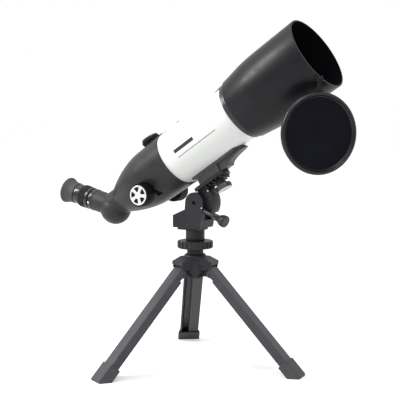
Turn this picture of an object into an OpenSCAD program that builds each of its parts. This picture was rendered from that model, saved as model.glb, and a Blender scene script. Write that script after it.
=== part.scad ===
// Small wide-field refractor telescope on a tabletop tripod with folding legs.
// Millimetres, +Z up. The origin lies on the floor, midway between the three feet,
// and the front leg points along +X.
// Stations along the tube run forwards from the point above the tripod head;
// the optical axis is station X, "above the axis" is Z and the sides are Y.

/* [Pose] */
// Angle of the tube from the front leg, seen from above
pan_rest = -6.5; // [-20:0.5:20]
// Angle of the tube above level
tilt_rest = 33.4; // [22:0.2:42]
// Splay of each leg from the vertical
splay = 43.2; // [40:0.2:46]

/* [Tripod] */
// Height of the leg pivots above the floor
pivot_z = 147; // [130:1:160]
// Distance of each leg pivot from the centre line
pivot_r = 29; // [28.5:0.1:31]
// Radius of the leg pivot pins
leg_pin_r = 2; // [1.5:0.1:2.2]
// Width of the flat web of a leg
leg_web_w = 22; // [20:0.5:24]
// Width of a leg across its flared edges
leg_flare_w = 31.6; // [29:0.2:34]
// Depth of a leg's channel
leg_d = 11.5; // [10:0.1:13]
// Wall of a leg's channel
leg_wall = 2.2; // [1.6:0.1:2.4]
// Offset of a leg's outer face from its pivot
leg_face = 9.7; // [9:0.1:10.5]
// Width of the hub lug inside a leg's fork
lug_w = 12; // [9:0.5:14]
// Radius of the hub lug's eye
lug_r = 4; // [3.4:0.1:4]
// Wall of a rubber foot around the leg
foot_wall = 2.2; // [1.8:0.1:3]
// Length of leg that a rubber foot grips
foot_grip = 19; // [12:1:26]
// Rubber under the end of a leg
foot_sole = 3; // [2:0.5:5]
// Reach of a foot's sole beyond the end of its leg
foot_toe = 16.9; // [13.9:0.1:19.9]

/* [Hub and column] */
// Radius of the hub's core
hub_r = 18.9; // [18:0.1:18.9]
// Height of the hub's core
hub_h = 21.5; // [19:0.5:25]
// Radius of the boss below the core
boss_r = 13; // [11:0.5:14]
// Height of the boss below the core
boss_h = 7; // [5:0.5:8]
// Outer reach of the roofs over the leg tops
roof_r = 34; // [32:0.5:36]
// Width of the roofs over the leg tops
roof_w = 28; // [24:0.5:30]
// Thickness of the roofs at their outer edge
roof_t = 5.5; // [5:0.5:7]
// Depth of the cheeks that hang from a roof beside the leg
cheek_h = 4.5; // [3:0.5:6]
// Wall of those cheeks
cheek_t = 1.8; // [1.4:0.1:2]
// Radius of the collar above the core
collar_r = 17.8; // [16:0.1:18.5]
// Height of the collar
collar_h = 9; // [7:0.5:11]
// Radius of the nose that the column turns in
nose_r = 12.9; // [12:0.1:13.5]
// Height of the nose above the collar
nose_h = 9; // [7:0.5:12]
// Radius of the column's lower spindle
spindle_r = 9; // [7:0.5:10]
// Radius of the column's neck
neck_r = 14.9; // [14:0.1:17]
// Height of the column's neck
neck_h = 17; // [14:0.5:22]
// Radius of the lock ring over its ribs
ring_r = 28; // [24:0.5:30]
// Height of the lock ring
ring_h = 11.2; // [9:0.2:14]
// Ribs around the lock ring
ring_ribs = 22; // [16:1:26]

/* [Tripod head] */
// Length of the head block along the tube
block_l = 52; // [48:1:56]
// Width of the head block across the tube
block_w = 40; // [36:1:46]
// Height of the head block's straight side
block_h = 19; // [16:0.5:20]
// How much the head block's front leans out
block_rake = 5.5; // [2:0.5:6]
// How far the tilt pin stands in front of the column
tilt_x = 10; // [8:0.5:11]
// Height of the tilt pin above the foot of the head block
tilt_up = 44.2; // [42:0.2:46]
// Radius of the cheeks around the tilt pin
cheek_r = 16; // [14:0.2:16.2]
// Radius of the tilt pin
tilt_pin_r = 3; // [2:0.1:4]
// Width of the tilting knuckle between the cheeks
knuckle_w = 22; // [18:0.5:24]
// Radius of the tilting knuckle's friction lobe
lobe_r = 30; // [28:0.5:31]
// Length of the clamp handle's stem
handle_l = 36; // [32:1:44]
// Radius of the clamp handle's stem
handle_r = 3.6; // [3:0.1:4]
// Dip of the clamp handle below level
handle_dip = 18.6; // [14:0.2:24]
// Swing of the clamp handle away from the tube's line
handle_turn = 4; // [0:0.5:5]
// Length of the handle's grip
grip_l = 25; // [20:0.5:28]
// Radius of the grip at its flared end
grip_r = 9.4; // [8:0.1:10.5]

/* [Platform and camera screw] */
// Height of the tube's foot above the tilt pin, square to the tube
pin_drop = 18.8; // [17:0.2:24]
// Station of the tilt pin
tilt_station = -39.9; // [-43:0.1:-38]
// Station of the camera screw
screw_station = 9; // [6:0.5:12]
// Length of the platform
platform_l = 57; // [54:0.5:64]
// Width of the platform
platform_w = 37; // [32:0.5:42]
// Thickness of the platform's plate
platform_t = 5; // [4:0.5:5.5]
// Depth of the ribs below the plate
rib_h = 4; // [3:0.5:6]
// Thickness of the platform's rubber pad
pad_t = 1; // [0.8:0.1:1.5]
// Radius of the camera screw's wheel
wheel_r = 13; // [11:0.5:15]
// Thickness of the camera screw's wheel
wheel_t = 7.5; // [6:0.5:9]
// Radius of the camera screw, quarter-inch thread
stud_r = 3.15; // [2.5:0.05:3.5]

/* [Tube] */
// Outer radius of the main tube
tube_r = 44.8; // [44.3:0.1:45]
// Wall of the main tube
tube_wall = 1.5; // [1:0.1:2]
// Station of the tube's rear end
tube_back = -72; // [-75:1:-70]
// Station where the objective cell begins
cell_station = 96.8; // [92:0.2:100]
// Length of the part of the cell that shows
cell_show = 8; // [7:0.5:10]
// Height of the cell over the tube
cell_over = 2.5; // [2.2:0.1:3.2]
// Distance of the clear aperture's edge inside the tube's outer face
aperture_in = 4.8; // [4.3:0.1:6.8]
// Thickness of the crown lens at its edge
crown_t = 5; // [4:0.5:6]
// Thickness of the flint lens
flint_t = 4; // [3:0.5:5]
// Radius of curvature of the crown's front
crown_curve = 240; // [220:5:300]

/* [Foot block] */
// Length of the foot block
foot_l = 42; // [38:1:46]
// Width of the foot block
foot_w = 26; // [22:0.5:30]
// Depth of the foot block below the tube
foot_h = 15.2; // [13.2:0.5:17]
// Reach of the saddle behind station zero
saddle_back = 26; // [24:1:30]
// Reach of the saddle's pointed front
saddle_front = 78; // [74:1:82]
// Width of the gusset in front of the block
gusset_w = 17; // [13:0.5:19]
// Drop of the gusset's tip below the tube
gusset_dip = 6; // [3:0.5:7]

/* [Hood and cap] */
// Station of the hood's mouth
mouth_station = 247; // [230:1:256]
// Station where the hood's cone ends
cone_station = 150; // [144:1:158]
// Height of the hood's back over the cell
hood_over = 2.7; // [2.4:0.1:3.4]
// Widening of the hood's radius along its cone
hood_flare = 6.5; // [6:0.1:7.5]
// Widening of the hood's radius from its cone to its mouth
hood_taper = 1.1; // [0.6:0.1:1.6]
// Wall of the hood at its mouth
hood_wall = 2.7; // [2.4:0.1:3.2]
// Overhang of the lens cap's flange over the hood
cap_over = 0.4; // [0:0.1:1.4]
// Thickness of the lens cap's flange
cap_flange_t = 4; // [3:0.2:5]
// Depth of the lens cap's plug
cap_plug_h = 9; // [6:0.5:12]
// Length of the strap that the cap hangs by
strap_l = 17; // [15:0.5:22]
// Width of the strap
strap_w = 5.8; // [5:0.2:6]
// Thickness of the strap
strap_t = 2; // [1.4:0.1:2.4]
// Width of the strap's end on the cap
strap_end_w = 12; // [8:0.5:16]
// Angle of the cap's lug around the hood, from the top towards the right side
lug_turn = 137; // [130:1:142]
// Direction that the hanging cap faces, from above
cap_facing = 38; // [20:1:50]

/* [Rear housing] */
// Station of the housing's front rim
rim_station = -38.4; // [-42:0.2:-36]
// Height of the housing's front rim over the tube
rim_over = 2.1; // [1.8:0.1:2.8]
// Station of the housing's shoulder, where the dome begins
shoulder_station = -90; // [-94:1:-86]
// Height of the shoulder over the tube
shoulder_over = 0.5; // [0.4:0.1:1.2]
// Height of the housing's back over the draw tube
back_over = 2.5; // [2.4:0.1:3]
// Fullness of the dome
dome_power = 1.77; // [1.6:0.01:2]
// Station of the housing's back face
back_station = -166; // [-170:0.5:-164]
// Length of the guide around the draw tube
guide_l = 54; // [50:1:60]
// Wall of the rear housing
shell_wall = 2.2; // [1.8:0.1:2.6]
// Station of the focus shaft
focus_station = -99; // [-102:0.5:-96]
// Radius of the focus shaft
focus_shaft_r = 2.5; // [2:0.1:3]
// Radius of a focus knob
knob_r = 18; // [16:0.2:18.4]
// Length of a focus knob
knob_l = 21; // [18:0.5:23]
// Distance of a focus knob's outer face from the tube's side
knob_stand = 13.7; // [12.2:0.5:17]
// Radius of the lock knob
lock_r = 15.6; // [14:0.2:16]
// Height of the lock knob's black part
lock_h = 4.6; // [4:0.2:6]
// Thickness of the lock knob's bright crown
crown_h = 4; // [3:0.2:5]
// Station of the lock knob
lock_station = -64.5; // [-66:0.5:-60]
// Turn of the lock knob from the top towards the right side
lock_turn = 3; // [0:1:20]

/* [Focuser] */
// Outer radius of the draw tube
draw_r = 21.2; // [20.5:0.1:21.3]
// Wall of the draw tube
draw_wall = 1.4; // [1:0.1:1.8]
// Station of the draw tube's front end
draw_front = -63; // [-64:0.5:-60]
// Module of the rack and pinion
gear_module = 0.8; // [0.8]
// Teeth of the pinion
pinion_teeth = 12; // [12]
// Face width of the rack and pinion
gear_w = 8; // [6:0.5:10]
// Travel of the focuser
focus_travel = 30; // [20:1:34]

/* [Elbow and eyepiece] */
// Station where the elbow bends the light
elbow_station = -190; // [-194:0.5:-188]
// Radius of the elbow's bulb
bulb_r = 25.3; // [24:0.1:26]
// Drop of the bulb's centre below the optical axis
bulb_drop = 5; // [3:0.2:6]
// Bend of the elbow
bend = 46.8; // [44:0.2:48]
// Outer radius of the eyepiece holder
holder_r = 17.6; // [17:0.1:19]
// Distance of the holder's rim from the bend
holder_l = 44; // [40:0.5:48]
// Radius of the eyepiece barrel, inch and a quarter
barrel_r = 15.85; // [15.85]
// Radius of the eyepiece's grip ring
grip_ring_r = 18; // [17:0.1:19]
// Distance of the eyepiece's eye end from the bend
eye_l = 99.5; // [94:0.5:104]
// Radius of the eyecup at its rim
cup_r = 21.6; // [18:0.2:22]
// Radius of the eyepiece body behind the eyecup
body_r = 14.5; // [13.6:0.1:15.2]

/* [Clearances] */
// Radial clearance of a shaft that turns in a hole
run_fit = 0.05; // [0.03:0.01:0.1]
// Radial clearance of pieces that are fixed together
seat_fit = 0.03; // [0.02:0.01:0.06]
// Gap between faces that move past each other
gap = 0.3; // [0.2:0.05:0.4]

/* [Hidden] */
$fn = 64;
fine = 96;

black = [0.16, 0.16, 0.17];
grey = [0.3, 0.3, 0.32];
silver = [0.85, 0.85, 0.86];
white = [0.95, 0.95, 0.93];
glass = [0.55, 0.65, 0.75];
rubber = [0.1, 0.1, 0.1];
steel = [0.6, 0.6, 0.62];
big = 400;
skin = 0.01;

// Heights of the tripod's stack
core_z = pivot_z;
roof_z = pivot_z + 14.5;
collar_z = core_z + hub_h;
nose_z = collar_z + collar_h;
nose_top = nose_z + nose_h;
ring_z = nose_top + gap;
neck_z = ring_z + ring_h + gap;
block_z = neck_z + neck_h;
flange_t = 4;
floor_z = block_z + flange_t;
tilt_z = block_z + tilt_up;
tenon_r = 7;
tenon_h = 8;

// The leg's length stops its inner edge one sole above the floor
leg_tip = leg_d - leg_face;
leg_l = (pivot_z - leg_tip * sin(splay) - foot_sole) / cos(splay);
foot_reach = pivot_r + leg_l * sin(splay) + foot_toe;
lean = (leg_flare_w - leg_web_w) / 2 / leg_d;
slant = sqrt(1 + lean * lean);
fork_wall = 3.2;
knuckle_h = 5;
web_top = 9;

// Levels of the foot and the platform, down from the optical axis
foot_drop = tube_r + foot_h;
tilt_drop = foot_drop + pin_drop;
pad_n = -foot_drop - pad_t;
plate_n = pad_n - platform_t;
pin_up = plate_n + tilt_drop;
boss_len = 11;
wheel_n = plate_n - boss_len - gap;
pinion_r = gear_module * pinion_teeth / 2;
shaft_drop = draw_r + 1 + pinion_r;
knob_reach = tube_r + knob_stand;
knob_in = knob_reach - knob_l;

// Radii of the housing, the hood and the cap
rim_r = tube_r + rim_over;
shoulder_r = tube_r + shoulder_over;
dome_drop = shoulder_r - draw_r - back_over;
cell_r = tube_r + cell_over;
hood_back_r = cell_r + hood_over;
hood_cone_r = hood_back_r + hood_flare;
hood_mouth_r = hood_cone_r + hood_taper;
hood_bore_r = hood_mouth_r - hood_wall;
cap_r = hood_mouth_r + cap_over;

// Stations of the objective
tube_front = cell_station + cell_show + 6;
lens_station = tube_front + 4;
aperture_r = tube_r - aperture_in;
lens_r = aperture_r + 2;
spacer_t = 0.5;
crown_station = lens_station + flint_t + spacer_t;
ring_station = crown_station + crown_t + lens_sag(lens_r) - lens_sag(aperture_r);
retainer_t = 4;
cell_end = ring_station + retainer_t + 1;
cell_step_r = cell_r - 1.2;
hood_station = cell_station + cell_show + 0.2;
hood_lip = 4;

// The cap's lug sits at the hood's rim; the strap hangs straight down from it
lug_station = mouth_station - 1;
lug_out = hood_mouth_r + 3.9;
cap_pin_r = 1.2;
eye_r = 2.4;

// ---------- frames ----------

module head_frame() {
    rotate([0, 0, pan_rest]) children();
}

module scope_frame() {
    head_frame() translate([tilt_x, 0, tilt_z]) rotate([0, -tilt_rest, 0])
        translate([-tilt_station, 0, tilt_drop]) children();
}

module leg_frame(turn) {
    rotate([0, 0, turn]) translate([pivot_r, 0, pivot_z]) rotate([0, -splay, 0]) children();
}

// Turns a profile of [radius, station] points about the optical axis
module turned() {
    rotate([0, 90, 0]) rotate_extrude($fn = fine) children();
}

// A cylinder along Y
module cross_pin(r, y0, y1) {
    translate([0, y0, 0]) rotate([-90, 0, 0]) cylinder(h = y1 - y0, r = r);
}

// An outline in X and Z, given its width along Y
module slab(w) {
    translate([0, w / 2, 0]) rotate([90, 0, 0]) linear_extrude(w) children();
}

module ring(r_out, r_in, h) {
    difference() {
        cylinder(h = h, r = r_out);
        translate([0, 0, -1]) cylinder(h = h + 2, r = r_in);
    }
}

// ---------- tripod ----------

module hub() {
    bore_r = spindle_r + run_fit;
    color(black) {
        difference() {
            rotate_extrude($fn = fine) polygon([
                [0, core_z - boss_h], [boss_r, core_z - boss_h], [boss_r, core_z],
                [hub_r, core_z], [hub_r, collar_z], [collar_r, collar_z],
                [collar_r, nose_z - 4], [collar_r - 1, nose_z - 1.6], [collar_r - 3, nose_z],
                [nose_r, nose_z], [nose_r, nose_top], [0, nose_top]]);
            translate([0, 0, core_z + 1]) cylinder(h = nose_top, r = bore_r);
        }
        for (turn = [0, 120, 240]) rotate([0, 0, turn]) {
            leg_roof(bore_r);
            leg_lug(bore_r);
        }
    }
}

// Sloping roof over a leg's top, joined to the core
module leg_roof(bore_r) {
    slab(roof_w) polygon([
        [bore_r + 3, roof_z], [roof_r, roof_z], [roof_r, roof_z + roof_t],
        [collar_r, collar_z + 5], [bore_r + 3, collar_z + 5]]);
    for (side = [-1, 1])
        translate([0, side * (leg_web_w / 2 + gap + cheek_t / 2), 0]) slab(cheek_t) polygon([
            [hub_r - 4, roof_z + 1], [roof_r - 0.8, roof_z + 1],
            [roof_r - 0.8, roof_z - cheek_h], [hub_r - 4, roof_z - 2 * cheek_h]]);
}

// Eye that the leg's fork turns on
module leg_lug(bore_r) {
    difference() {
        union() {
            translate([pivot_r, 0, pivot_z]) cross_pin(lug_r, -lug_w / 2, lug_w / 2);
            slab(lug_w) polygon([
                [hub_r - 4, roof_z + 1], [hub_r - 4, pivot_z - lug_r + 2],
                [boss_r - 1, pivot_z - lug_r], [pivot_r, pivot_z - lug_r],
                [pivot_r + 1, pivot_z + 3.8], [pivot_r - 3, roof_z + 1]]);
        }
        translate([pivot_r, 0, pivot_z]) cross_pin(leg_pin_r + seat_fit, -lug_w, lug_w);
    }
}

module leg_pins() {
    color(steel) for (turn = [0, 120, 240]) rotate([0, 0, turn]) {
        translate([pivot_r, 0, pivot_z])
            cross_pin(leg_pin_r, -leg_web_w / 2 + 0.6, leg_web_w / 2 - 0.6);
    }
}

// Outline of a leg across its length, grown by g; X is outwards and Y is across
module leg_outline(g) {
    web = leg_web_w / 2 + g * (slant - lean);
    edge = leg_flare_w / 2 + g * (slant + lean);
    polygon([
        [leg_face + g, -web], [leg_face + g, web],
        [leg_face - leg_d - g, edge], [leg_face - leg_d - g, -edge]]);
}

module leg_section() {
    in = leg_face - leg_wall;
    back = leg_face - leg_d;
    edge = leg_web_w / 2 - leg_wall * slant;
    difference() {
        leg_outline(0);
        // open gutter along one side of the inner face
        polygon([[in, 1], [in, edge + leg_wall * lean],
            [back - 1, edge + (leg_d + 1) * lean], [back - 1, 1]]);
        // closed cell along the other side
        polygon([[in, -1], [in, -edge - leg_wall * lean],
            [back + leg_wall, -edge - (leg_d - leg_wall) * lean], [back + leg_wall, -1]]);
    }
}

module leg(turn) {
    color(grey) leg_frame(turn) difference() {
        union() {
            translate([0, 0, -leg_l]) linear_extrude(leg_l - 12) leg_section();
            fork();
        }
        cross_pin(leg_pin_r + run_fit, -leg_web_w, leg_web_w);
    }
}

// Two side walls around the hub's lug, closed over by the web
module fork() {
    slot = lug_w / 2 + gap;
    difference() {
        union() {
            translate([leg_face - leg_wall + 0.2, -leg_web_w / 2, -13])
                cube([leg_wall - 0.2, leg_web_w, 13 + web_top]);
            for (side = [-1, 1]) {
                translate([0, side * (leg_web_w - fork_wall) / 2, 0]) slab(fork_wall) union() {
                    circle(r = knuckle_h);
                    polygon([[0, knuckle_h], [leg_face, web_top], [leg_face, -13],
                        [leg_face - leg_d, -13], [leg_face - leg_d, -7], [-knuckle_h, 0]]);
                }
            }
            translate([leg_face - leg_d, -leg_web_w / 2, -15])
                cube([leg_d, leg_web_w, 3]);
        }
        translate([-2 * leg_d, -slot, -11.8])
            cube([2 * leg_d + lug_r + gap, 2 * slot, 30]);
    }
}

// Rubber shoe on a leg's end, cut flat where it stands
module foot(turn) {
    color(black) intersection() {
        leg_frame(turn) difference() {
            translate([0, 0, -leg_l - 30]) linear_extrude(foot_grip + 30)
                leg_outline(foot_wall);
            translate([0, 0, -leg_l]) linear_extrude(foot_grip + 1) leg_outline(seat_fit);
        }
        rotate([0, 0, turn]) translate([0, -big, 0]) cube([foot_reach, 2 * big, big]);
    }
}

module leg_a() { leg(0); }
module leg_b() { leg(120); }
module leg_c() { leg(240); }
module foot_a() { foot(0); }
module foot_b() { foot(120); }
module foot_c() { foot(240); }

// Threaded ring that locks the column; broad ribs around its edge
module lock_ring() {
    rib_w = 2 * PI * ring_r / ring_ribs * 0.5;
    color(black) translate([0, 0, ring_z]) difference() {
        union() {
            cylinder(h = ring_h, r = ring_r - 1.2, $fn = fine);
            for (i = [0:ring_ribs - 1]) rotate([0, 0, i * 360 / ring_ribs])
                translate([ring_r - 4, -rib_w / 2, 0.8]) cube([4, rib_w, ring_h - 1.6]);
        }
        translate([0, 0, -1]) cylinder(h = ring_h + 2, r = spindle_r + gap);
    }
}

// Spindle, neck and tenon of the turning column
module column() {
    color(black) rotate_extrude($fn = fine) polygon([
        [0, core_z + 2], [spindle_r, core_z + 2], [spindle_r, neck_z],
        [neck_r - 1, neck_z], [neck_r, neck_z + 1], [neck_r, block_z],
        [tenon_r, block_z], [tenon_r, block_z + tenon_h], [0, block_z + tenon_h]]);
}

// ---------- tripod head ----------

// Outline of the block and its cheeks, seen from the right
module block_outline() {
    x0 = tilt_x - cheek_r - block_l / 2 + 3;
    x1 = tilt_x + cheek_r;
    union() {
        translate([tilt_x, tilt_z]) circle(r = cheek_r, $fn = fine);
        polygon([
            [x0, floor_z], [x1 - block_rake, floor_z], [x1, floor_z + 27], [x1, tilt_z],
            [tilt_x - cheek_r, tilt_z], [tilt_x - cheek_r - 1, floor_z + block_h + 10],
            [x0, floor_z + block_h]]);
    }
}

// Space that the tilting lobe sweeps
module lobe_room(r) {
    reach = 2 * r;
    intersection() {
        circle(r = r, $fn = fine);
        polygon([[0, 0], [reach * cos(-74), reach * sin(-74)],
            [reach, -reach], [reach, reach], [0, reach]]);
    }
}

module head_block() {
    slot = knuckle_w + 2 * gap;
    color(black) head_frame() difference() {
        union() {
            slab(block_w) block_outline();
            translate([-24, -14, block_z]) cube([39, 28, flange_t]);
        }
        slab(slot) translate([tilt_x, tilt_z]) union() {
            circle(r = cheek_r + gap, $fn = fine);
            lobe_room(lobe_r + gap);
            translate([-cheek_r - gap, 0]) square([2 * (cheek_r + gap), big]);
        }
        translate([tilt_x, 0, tilt_z]) cross_pin(tilt_pin_r + seat_fit, -big, big);
        translate([0, 0, block_z - 1]) cylinder(h = tenon_h + 1.5, r = tenon_r + seat_fit);
        handle_frame() translate([0, 0, -8]) cylinder(h = 20, r = handle_r - 0.6 + run_fit);
    }
}

module tilt_pin() {
    color(steel) head_frame() translate([tilt_x, 0, tilt_z])
        cross_pin(tilt_pin_r, -block_w / 2 + 2.5, block_w / 2 - 2.5);
}

// Origin where the clamp handle leaves the right cheek; Z runs out along the handle
module handle_frame() {
    translate([tilt_x + cheek_r, -(knuckle_w + block_w) / 4 - 0.8, tilt_z - 12.5])
        rotate([0, 0, -handle_turn]) rotate([0, 90 + handle_dip, 0]) children();
}

module clamp_stem() {
    color(steel) head_frame() handle_frame() {
        translate([0, 0, -7]) cylinder(h = 9, r = handle_r - 0.6);
        translate([0, 0, 1.6]) cylinder(h = handle_l - 1.6, r = handle_r);
    }
}

// Flared, fluted grip on the end of the stem
module clamp_grip() {
    z0 = handle_l - grip_l + 8;
    color(black) head_frame() handle_frame() difference() {
        rotate_extrude($fn = fine) polygon([
            [0, z0], [5, z0], [5.4, z0 + 1], [5.4, z0 + grip_l * 0.42],
            [grip_r - 0.6, z0 + grip_l * 0.68], [grip_r, z0 + grip_l * 0.74],
            [grip_r, z0 + grip_l - 1], [grip_r - 1, z0 + grip_l], [0, z0 + grip_l]]);
        translate([0, 0, z0 - 1]) cylinder(h = handle_l - z0 + 1 + skin, r = handle_r + seat_fit);
        for (i = [0:7]) rotate([0, 0, i * 45])
            translate([5.4, 0, z0 + 2]) rotate([0, 16, 0]) cylinder(h = grip_l * 0.5, r = 0.7);
    }
}

// ---------- platform ----------

module platform_outline(g) {
    x0 = tilt_station + 11.4 - g;
    x1 = x0 + platform_l + 2 * g;
    w = platform_w / 2 + g;
    union() {
        translate([x0, -w]) square([x1 - x0 - w, 2 * w]);
        translate([x1 - w, 0]) circle(r = w, $fn = fine);
    }
}

// One moulding: the plate, its ribs, the screw's boss and the knuckle
module tilt_platform() {
    k = knuckle_w / 2;
    color(black) scope_frame() difference() {
        union() {
            translate([0, 0, plate_n]) linear_extrude(platform_t) platform_outline(0);
            intersection() {
                for (i = [0:4]) translate([screw_station - 19 + i * 7, -platform_w, plate_n - rib_h])
                    cube([2, 2 * platform_w, rib_h + skin]);
                translate([0, 0, plate_n - rib_h]) linear_extrude(rib_h + skin) platform_outline(-1.5);
            }
            translate([screw_station, 0, plate_n - boss_len])
                cylinder(h = boss_len + skin, r = 7.5);
            translate([tilt_station, 0, -tilt_drop]) {
                cross_pin(cheek_r - 0.3, -k, k);
                slab(knuckle_w) knuckle_outline();
            }
        }
        translate([tilt_station, 0, -tilt_drop]) cross_pin(tilt_pin_r + run_fit, -big, big);
        translate([screw_station, 0, plate_n - big / 2]) cylinder(h = big, r = stud_r + run_fit);
        // friction grooves on the knuckle's sides
        translate([tilt_station, 0, -tilt_drop]) for (side = [-1, 1], a = [-48:12:-12])
            rotate([0, -a, 0]) translate([cheek_r + 2, side * k - 0.5, -0.4])
                cube([lobe_r - cheek_r - 4, 1, 0.8]);
    }
}

// Friction lobe below the platform, centred on the tilt pin
module knuckle_outline() {
    lean = -64;
    reach = 2 * lobe_r;
    difference() {
        intersection() {
            circle(r = lobe_r, $fn = fine);
            polygon([[0, 0], [reach * cos(lean), reach * sin(lean)], [reach, -reach],
                [reach, pin_up + skin], [0, pin_up + skin]]);
        }
        translate([lobe_r + 3, pin_up - 5]) circle(r = 4);
    }
}

module platform_pad() {
    color(rubber) scope_frame() translate([0, 0, pad_n]) difference() {
        linear_extrude(pad_t) platform_outline(-1.5);
        translate([screw_station, 0, -1]) cylinder(h = pad_t + 2, r = stud_r + 1);
    }
}

module camera_screw() {
    color(steel) scope_frame() translate([screw_station, 0, wheel_n - wheel_t + 1.5])
        cylinder(h = foot_drop - tube_r - 3 + pad_t + platform_t + boss_len + gap + wheel_t - 1.5,
            r = stud_r);
}

module screw_wheel() {
    color(black) scope_frame() translate([screw_station, 0, wheel_n - wheel_t]) difference() {
        union() {
            cylinder(h = wheel_t, r = wheel_r - 0.7, $fn = fine);
            for (i = [0:27]) rotate([0, 0, i * 360 / 28])
                translate([wheel_r - 2, -0.8, 0.6]) cube([2, 1.6, wheel_t - 1.2]);
        }
        translate([0, 0, -1]) cylinder(h = 2, r = wheel_r - 2 + seat_fit);
        translate([0, 0, 1.5]) cylinder(h = wheel_t, r = stud_r + seat_fit);
    }
}

// Bright disc let into the wheel's underside
module screw_disc() {
    color(silver) scope_frame() translate([screw_station, 0, wheel_n - wheel_t])
        cylinder(h = 1, r = wheel_r - 2, $fn = fine);
}

// ---------- tube ----------

module tube_foot() {
    block_x = screw_station - foot_l / 2 - 7;
    color(black) scope_frame() difference() {
        intersection() {
            union() {
                translate([block_x, -foot_w / 2, -foot_drop]) cube([foot_l, foot_w, foot_drop - 30]);
                slab(foot_w) polygon([[-saddle_back, -30], [-saddle_back, -tube_r - 2.5],
                    [block_x, -tube_r - 4.5], [saddle_front - 10, -tube_r - 2], [saddle_front - 9, -30]]);
                slab(gusset_w) gusset_outline(block_x + foot_l - 4);
            }
            translate([0, 0, -foot_drop - 1]) linear_extrude(foot_drop) polygon([
                [-saddle_back, -foot_w / 2], [saddle_front - 16, -foot_w / 2],
                [saddle_front + 1, -2], [saddle_front + 1, 2], [saddle_front - 16, foot_w / 2],
                [-saddle_back, foot_w / 2]]);
        }
        along_tube(tube_r + seat_fit);
        translate([screw_station, 0, -foot_drop - 1])
            cylinder(h = foot_drop - tube_r + 1 - 2, r = stud_r + run_fit);
        for (side = [-1, 1])
            translate([block_x + 4, side * (foot_w / 2 - 1) - (side > 0 ? 0 : 1), -foot_drop + 3])
                cube([foot_l - 8, 1.01, foot_drop - tube_r - 6.5]);
        for (x = foot_screw_stations())
            translate([x, 0, -foot_drop + 4]) cylinder(h = 30, r = 2 + seat_fit);
    }
}

function foot_screw_stations() = [screw_station - 19, screw_station + 19];

// Concave gusset from the block's foot to the saddle's tip
module gusset_outline(x0) {
    x1 = saddle_front;
    low = -foot_drop;
    high = -tube_r - gusset_dip;
    polygon(concat([[x0, -30], [x0, low], [x0 + 20, low]],
        [for (a = [0:9:90]) [x0 + 20 + (x1 - x0 - 20) * (1 - cos(a)), low + (high - low) * sin(a)]],
        [[x1 - 4, high + gusset_dip - 1], [x1 - 14, -tube_r - 1.2], [x1 - 14, -30]]));
}

// A cylinder along the whole tube
module along_tube(r) {
    translate([-big, 0, 0]) rotate([0, 90, 0]) cylinder(h = 2 * big, r = r, $fn = fine);
}

module foot_screws() {
    color(steel) scope_frame() for (x = foot_screw_stations()) translate([x, 0, 0]) {
        translate([0, 0, -foot_drop + 5]) cylinder(h = foot_drop - 5 - tube_r + tube_wall + 1, r = 2);
        translate([0, 0, -tube_r + tube_wall + 0.2]) cylinder(h = 2, r = 3.6);
    }
}

module main_tube() {
    color(white) scope_frame() difference() {
        turned() polygon([[tube_r - tube_wall, tube_back], [tube_r, tube_back],
            [tube_r, tube_front], [tube_r - tube_wall, tube_front]]);
        for (x = foot_screw_stations())
            translate([x, 0, -tube_r - 3]) cylinder(h = 8, r = 2 + seat_fit);
        translate([top_screw_station, 0, tube_r - 4]) cylinder(h = 8, r = 1.5 + seat_fit);
        for (x = shoe_screw_stations())
            translate([x, 0, tube_r - 4]) cylinder(h = 8, r = 1 + seat_fit);
    }
}

top_screw_station = -7;
shoe_station = 78;
shoe_l = 14;
shoe_w = 18;
function shoe_screw_stations() = [shoe_station + 6, shoe_station + shoe_l - 6];

// Blackened ring that stops stray light
baffle_station = 44;
baffle_l = 7.2;
baffle_t = 1.2;
baffle_w = 10;
module tube_baffle() {
    r = tube_r - tube_wall - seat_fit;
    plate = baffle_station + baffle_l - baffle_t;
    color(black) scope_frame() turned() polygon([
        [r - baffle_w, plate], [r - baffle_t, plate], [r - baffle_t, baffle_station],
        [r, baffle_station], [r, plate + baffle_t], [r - baffle_w, plate + baffle_t]]);
}

// Dovetail shoe for a finder, on top of the tube behind the hood
module finder_shoe() {
    low = tube_r - 4.8;
    color(black) scope_frame() difference() {
        translate([shoe_station, -shoe_w / 2, low]) cube([shoe_l, shoe_w, tube_r + 3 - low]);
        along_tube(tube_r + seat_fit);
        slab_x(shoe_station - 1, shoe_l + 2) polygon([[-4, tube_r + 1], [4, tube_r + 1],
            [3, tube_r + 4], [-3, tube_r + 4]]);
        for (x = shoe_screw_stations())
            translate([x, 0, low - 1]) cylinder(h = 9, r = 1 + seat_fit);
    }
}

// An outline in Y and Z, given its length along X
module slab_x(x0, l) {
    translate([x0, 0, 0]) rotate([90, 0, 90]) linear_extrude(l) children();
}

// Plug screws of the tube's top: one at the back and two in the shoe
module top_screw() {
    color(steel) scope_frame() {
        translate([top_screw_station, 0, tube_r + 0.1]) cylinder(h = 3, r1 = 3.6, r2 = 2.6);
        translate([top_screw_station, 0, tube_r - 3]) cylinder(h = 4, r = 1.5);
        for (x = shoe_screw_stations())
            translate([x, 0, tube_r - 3]) cylinder(h = 4.4, r = 1);
    }
}

// ---------- objective ----------

module objective_cell() {
    groove = cell_station + cell_show * 0.55;
    color(black) scope_frame() turned() polygon([
        [tube_r + seat_fit, cell_station], [cell_r - 0.6, cell_station],
        [cell_r, cell_station + 0.8], [cell_r, groove], [cell_r - 0.8, groove],
        [cell_r - 0.8, groove + 0.9], [cell_r + 0.4, groove + 0.9],
        [cell_r + 0.4, cell_station + cell_show], [cell_step_r, cell_station + cell_show],
        [cell_step_r, cell_end], [lens_r + seat_fit, cell_end],
        [lens_r + seat_fit, lens_station], [aperture_r + 0.5, lens_station],
        [aperture_r + 0.5, tube_front + skin], [tube_r + seat_fit, tube_front + skin]]);
}

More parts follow.
